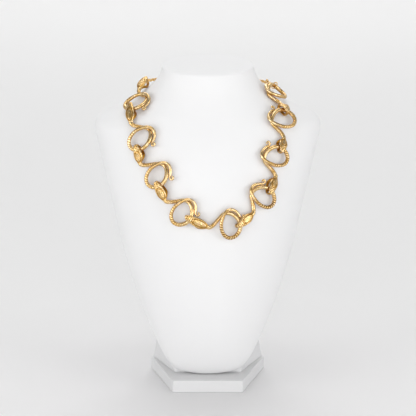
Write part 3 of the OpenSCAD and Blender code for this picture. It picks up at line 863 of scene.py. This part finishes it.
def clasp(a, b, turned):
    """Barrel between two places with a ring at each end. The barrel is a profile turned round
    its axis: round at both ends, less a bell for each of its grooves. turned says which ring
    stands upright."""
    middle, t = (a + b)/2, unit(b - a)
    n = flat(normal(np.array([0.0, BACK_Y, BACK_Z])), t)
    eye = np.linalg.norm(b - a)/2 - CLASP_EYE
    end, r = eye - CLASP_EYE, CLASP_D/2
    tip = r/2
    x = np.linspace(-1, 1, BARREL_RINGS)*(end + tip)
    edge = np.clip((np.abs(x) - end + BARREL_EDGE)/(tip + BARREL_EDGE), 0, 1)
    grooves = bell(np.abs(x) - GROOVE_AT*end, GROOVE_WIDTH) + bell(x, GROOVE_WIDTH)
    radius = (r - tip*edge**2 - GROOVE_DEPTH*grooves)[:, None]
    phi = np.linspace(0, 2*np.pi, BARREL_SIDES, endpoint=False)[None]
    barrel = np.stack([x[:, None] + 0*phi, radius*np.cos(phi), radius*np.sin(phi)], -1)
    piece("barrel_clasp", [placed(barrel, middle, t, n)], CHAIN_GOLD, ["clasp"])
    loop = torus_on(hoop(CLASP_EYE), RING_WIRE)
    tubes = [placed(loop, middle + side*eye*t, t, np.cross(t, n) if upright else n)
             for side, upright in zip((-1, 1), turned)]
    piece("clasp_rings", tubes, CHAIN_GOLD, ["clasp"], wraps=True)


LAST = len(LINKS) - 1
left_at = head_uv(-NOSE_INSIDE - RING_R, LINKS[0][BEND])
left_centre, left_up = place(0, *left_at, LEFT_RING_H)
hook = curve(BODY, LINKS[LAST][NEXT_EYE] + np.array([0, STRAND_STEP]))
strand, strand_up = place(LAST, *hook[:, :3].T)
strand_way = unit(strand[1] - strand[0])
right_out = unit(np.cross(strand_up[0], strand_way))
right_centre = strand[0] + (RING_R - RING_WIRE/2 - STRAND_R)*right_out
left_run, right_run = run(left_centre), run(right_centre)
left_along = flat(np.array([1.0, 0, 0]), left_up)
ring = torus_on(hoop(RING_R), RING_WIRE)
for side, first_flat, centre, angles, along, up in (
        ("left", 0, left_centre, left_run, left_along, left_up),
        ("right", 1, right_centre, right_run, right_out, strand_way)):
    tubes = [placed(ring, centre, along, up)] + chain_links(centre, angles, first_flat)
    piece(f"fine_chain_{side}", tubes, CHAIN_GOLD, [f"chain_{side}"], wraps=True)
clasp(far_end(left_centre, left_run), far_end(right_centre, right_run),
      (len(left_run) % 2 == 0, len(right_run) % 2 == 1))


# Bust, stem and foot

# Bust: sides, height of its bottom and to which its rings are dense; rings of the dense part,
# the wall, the part up to the tilted top, its edge and the top itself
BUST_SIDES, BOTTOM_Z, DENSE_TO = 240, 12, 30
DENSE_RINGS, WALL_RINGS, UPPER_RINGS, EDGE_RINGS, TOP_RINGS = 25, 150, 10, 9, 16
# Radius of the bust's rim; radius of the corners and of the edges of the stem and of the foot
RIM_EDGE = 2.2
STEM_CORNER, STEM_EDGE = 1.5, 0.5
FOOT_CORNER, FOOT_EDGE = 1.5, 0.8
# Rings over a rounded edge and between the edges, and the smaller rings inside each end
SLAB_EDGE_RINGS, SLAB_RINGS, SLAB_SHARES = 6, 12, (0.3, 0.7)


def bust_rings(z):
    """Superellipse rings of the bust at heights z: cosine and sine to the power of 2 over the
    section's, times the half width and the way from the widest line to front or back."""
    half, middle, front, back = np.moveaxis(section(z), -1, 0)
    a = np.linspace(0, 2*np.pi, BUST_SIDES, endpoint=False)[None]
    c, s = np.cos(a), np.sin(a)
    x = half*np.sign(c)*np.abs(c)**(2/SECTION_POWER)
    y = np.abs(s)**(2/SECTION_POWER)
    y = np.where(s < 0, middle - (middle - front)*y, middle + (back - middle)*y)
    return np.stack([x, y, z + 0*a], -1)


def bust_top(y):
    """Height of the tilted top at y."""
    return TOP_Z + (y - TOP_Y)*math.tan(TOP_TILT)


def bust_shell():
    """Rings up the wall, then up to the tilted rim, round its edge and in to the middle."""
    z = np.unique(np.concatenate([np.linspace(BOTTOM_Z, DENSE_TO, DENSE_RINGS),
                                  np.linspace(DENSE_TO, WALL_TOP, WALL_RINGS)]))
    wall = bust_rings(z[:, None])
    rim = bust_rings(np.array([[TOP_Z]]))[0]
    rise = np.linspace(0, 1, UPPER_RINGS)[1:, None]
    upper = bust_rings(WALL_TOP + rise*(bust_top(rim[:, 1]) - RIM_EDGE - WALL_TOP))
    centre = np.array([0, TOP_Y, 0])
    inward = unit(centre - upper[-1]*np.array([1, 1, 0]))
    phi = np.linspace(0, math.pi/2, EDGE_RINGS)[1:, None, None]
    edge = (upper[-1] + inward*RIM_EDGE*(1 - np.cos(phi))
            + np.array([0, 0, 1.0])*RIM_EDGE*np.sin(phi))
    shrink = np.linspace(1, 0, TOP_RINGS)[1:-1, None, None]
    disc = centre + (edge[-1] - centre)*shrink
    disc[..., 2] = bust_top(disc[..., 1])
    return np.concatenate([wall, upper, edge, disc])


def plan(row):
    """Six corners of the foot's or the stem's outline."""
    w, front, back = FOOT_W/2*row[0], row[1], row[2]
    wide = front + (back - front)*PLAN_WIDEST
    return np.array([[-PLAN_FRONT*w, front], [PLAN_FRONT*w, front], [w, wide],
                     [PLAN_BACK*w, back], [-PLAN_BACK*w, back], [-w, wide]])


def rounded_plan(corners, r, per=8):
    """Outline with each corner replaced by an arc of radius r that touches both its sides."""
    arcs = []
    for k, p in enumerate(corners):
        da, db = unit(corners[k - 1] - p), unit(corners[(k + 1) % len(corners)] - p)
        half = math.acos(float(da @ db))/2
        centre = p + unit(da + db)*r/math.sin(half)
        start, stop = p + da*r/math.tan(half) - centre, p + db*r/math.tan(half) - centre
        f = np.linspace(0, 1, per)[:, None]
        arcs.append(centre + r*unit(start*(1 - f) + stop*f))
    return np.vstack(arcs)


def slab(low_row, low_z, top_row, top_z, corner, edge):
    """Rings of a plate or a tapered stem: outlines between the low and the top one, drawn in
    and lifted on a quarter circle at both edges, with two smaller ones inside each end."""
    low, top = rounded_plan(plan(low_row), corner), rounded_plan(plan(top_row), corner)
    middle = np.array([0, (low_row[1] + low_row[2])/2, 0])
    phi = np.linspace(0, math.pi/2, SLAB_EDGE_RINGS)
    between = np.linspace(0, 1, SLAB_RINGS)[1:-1]
    f = np.concatenate([0*phi, between, 0*phi + 1])[:, None, None]
    inset = np.concatenate([edge*(1 - np.sin(phi)), 0*between, edge*(1 - np.cos(phi))])
    lift = np.concatenate([edge*(1 - np.cos(phi)), 0*between, edge*(np.sin(phi) - 1)])
    line = low*(1 - f) + top*f
    line = line + unit(middle[:2] - line)*inset[:, None, None]
    z = low_z + (top_z - low_z)*f + lift[:, None, None]
    rings = np.concatenate([line, z + 0*line[..., :1]], -1)
    first, last = ([middle + (rings[e] - middle)*np.array([k, k, 1]) for k in SLAB_SHARES]
                   for e in (0, -1))
    return np.concatenate([first, rings, last[::-1]])


stem = slab(STEM_LOW, FOOT_H, STEM_TOP, STEM_TOP_Z, STEM_CORNER, STEM_EDGE)
plate = slab(FOOT_PLAN, 0, FOOT_PLAN, FOOT_H, FOOT_CORNER, FOOT_EDGE)
piece("neck_bust", [bust_shell()], BUST_WHITE, ["bust"])
# Stem and foot in the paint with painted shade
piece("stem", [stem], FOOT_WHITE_PAINTED_SHADE, ["bust"])
piece("foot_plate", [plate], FOOT_WHITE_PAINTED_SHADE, ["foot"])


# Stage, light and camera

# Floor in metres: radius of the face in its middle, of its flat and of the bend up into the
# wall, and heights of the wall; sides, rings of the flat and of the bend
FLOOR_MIDDLE, FLOOR_FLAT, FLOOR_BEND, WALL_HEIGHTS = 0.02, 3, 1, [2, 4]
FLOOR_SIDES, FLAT_RINGS, BEND_RINGS = 96, 30, 15
# Its colours: two that drift near the object, darker there as painted shade round it, and one
# from some way off, with the distances between which it comes
FLOOR_NEAR_SHADE_DULL, FLOOR_NEAR_SHADE_BRIGHT, FLOOR_FAR = (0.83, 0.825, 0.83), (0.85, 0.845, 0.85), (0.88,)*3
FAR_FROM, FAR_TO = 0.1, 0.3
PAPER_ROUGH, PAPER_GLOSS = 0.8, 0.2
# Lights: name, place, target, size, power in watts
LIGHTS = [
    ["front_softbox", (-0.2, -2.3, 1.0), (0, 0, 0.13), (2.0, 1.8), 9],
    ["top_softbox", (0, 0, 2.4), (0, 0, 0.1), (1.6, 1.6), 16],
    ["backdrop_light", (0, 3.2, 3.4), (0, 3.2, 0), (3.0, 1.6), 58],
    ["low_front_fill", (0, -2.4, 0.3), (0, 0, 0.12), (1.8, 0.5), 7],
    ["left_strip", (-2.2, -1.4, 0.5), (0, 0, 0.12), (1.8, 0.9), 17.5],
    ["right_strip", (2.2, -1.4, 0.5), (0, 0, 0.12), (1.8, 0.9), 17.5]]
WORLD_STRENGTH = 0.2
# Camera: its angle above the level, distance in metres and target, and the picture's width in
# pixels, mm to a pixel at the target, and sideways shift in pixels
ELEVATION, DISTANCE, TARGET = math.radians(12), 1.7, Vector((0, -0.030, 0.162))
PICTURE, MM_PER_PIXEL, SIDE_SHIFT = 416, 0.885, 0.3
SENSOR = 36


def stage_floor():
    """Round studio floor that curves up into a wall all round: a profile of a straight, a
    quarter circle and a straight, turned round z."""
    bend = np.linspace(0, math.pi/2, BEND_RINGS + 1)[1:]
    wall = np.array(WALL_HEIGHTS)
    r = np.concatenate([np.linspace(FLOOR_MIDDLE, FLOOR_FLAT, FLAT_RINGS),
                        FLOOR_FLAT + FLOOR_BEND*np.sin(bend), FLOOR_FLAT + FLOOR_BEND + 0*wall])
    z = np.concatenate([np.zeros(FLAT_RINGS), FLOOR_BEND*(1 - np.cos(bend)), wall])
    a = np.linspace(0, 2*np.pi, FLOOR_SIDES, endpoint=False)
    grid = np.stack([r[:, None]*np.cos(a), r[:, None]*np.sin(a), z[:, None] + 0*a], -1)
    faces = ring_quads(*grid.shape[:2], wraps=False)[:, ::-1].tolist()
    faces.append(list(range(FLOOR_SIDES)))
    mesh = bpy.data.meshes.new("studio_floor")
    mesh.from_pydata(grid.reshape(-1, 3), [], faces)
    mesh.polygons.foreach_set("use_smooth", np.ones(len(mesh.polygons), bool))
    obj = bpy.data.objects.new("studio_floor", mesh)
    bpy.context.scene.collection.objects.link(obj)
    f = Finish("studio_paper", Roughness=PAPER_ROUGH, Specular_IOR_Level=PAPER_GLOSS)
    length = f.node("ShaderNodeVectorMath", {"operation": "LENGTH"}, f.position())
    far = Value(f, length.outputs["Value"]).over(FAR_FROM, FAR_TO)
    # Painted shade round the object: the floor is darker near it and reaches its far colour
    # further out
    near_painted_shade = f.mix(f.noise(scale=3, detail=2), FLOOR_NEAR_SHADE_DULL, FLOOR_NEAR_SHADE_BRIGHT)
    f.feed("Base Color", f.mix(far, near_painted_shade, FLOOR_FAR))
    obj.data.materials.append(f.material)


def aimed(data, at, target):
    """The object of a light or a camera that looks from a place at a target."""
    obj = bpy.data.objects.new(data.name, data)
    obj.location = at
    obj.rotation_euler = (Vector(target) - Vector(at)).to_track_quat("-Z", "Y").to_euler()
    bpy.context.scene.collection.objects.link(obj)
    return obj


stage_floor()
for name, at, target, size, power in LIGHTS:
    light = bpy.data.lights.new(name, "AREA")
    light.shape = "RECTANGLE"
    light.size, light.size_y = size
    light.energy = power
    aimed(light, at, target)

world = bpy.data.worlds.new("studio")
world.use_nodes = True
world.node_tree.nodes["Background"].inputs[0].default_value = (1, 1, 1, 1)
world.node_tree.nodes["Background"].inputs[1].default_value = WORLD_STRENGTH
bpy.context.scene.world = world
bpy.context.scene.view_settings.view_transform = "Standard"

camera = bpy.data.cameras.new("camera")
camera.sensor_width = SENSOR
camera.lens = SENSOR*DISTANCE*1000/MM_PER_PIXEL/PICTURE
camera.shift_x = SIDE_SHIFT/PICTURE
back_and_up = Vector((0, -math.cos(ELEVATION), math.sin(ELEVATION)))
bpy.context.scene.camera = aimed(camera, TARGET + DISTANCE*back_and_up, TARGET)
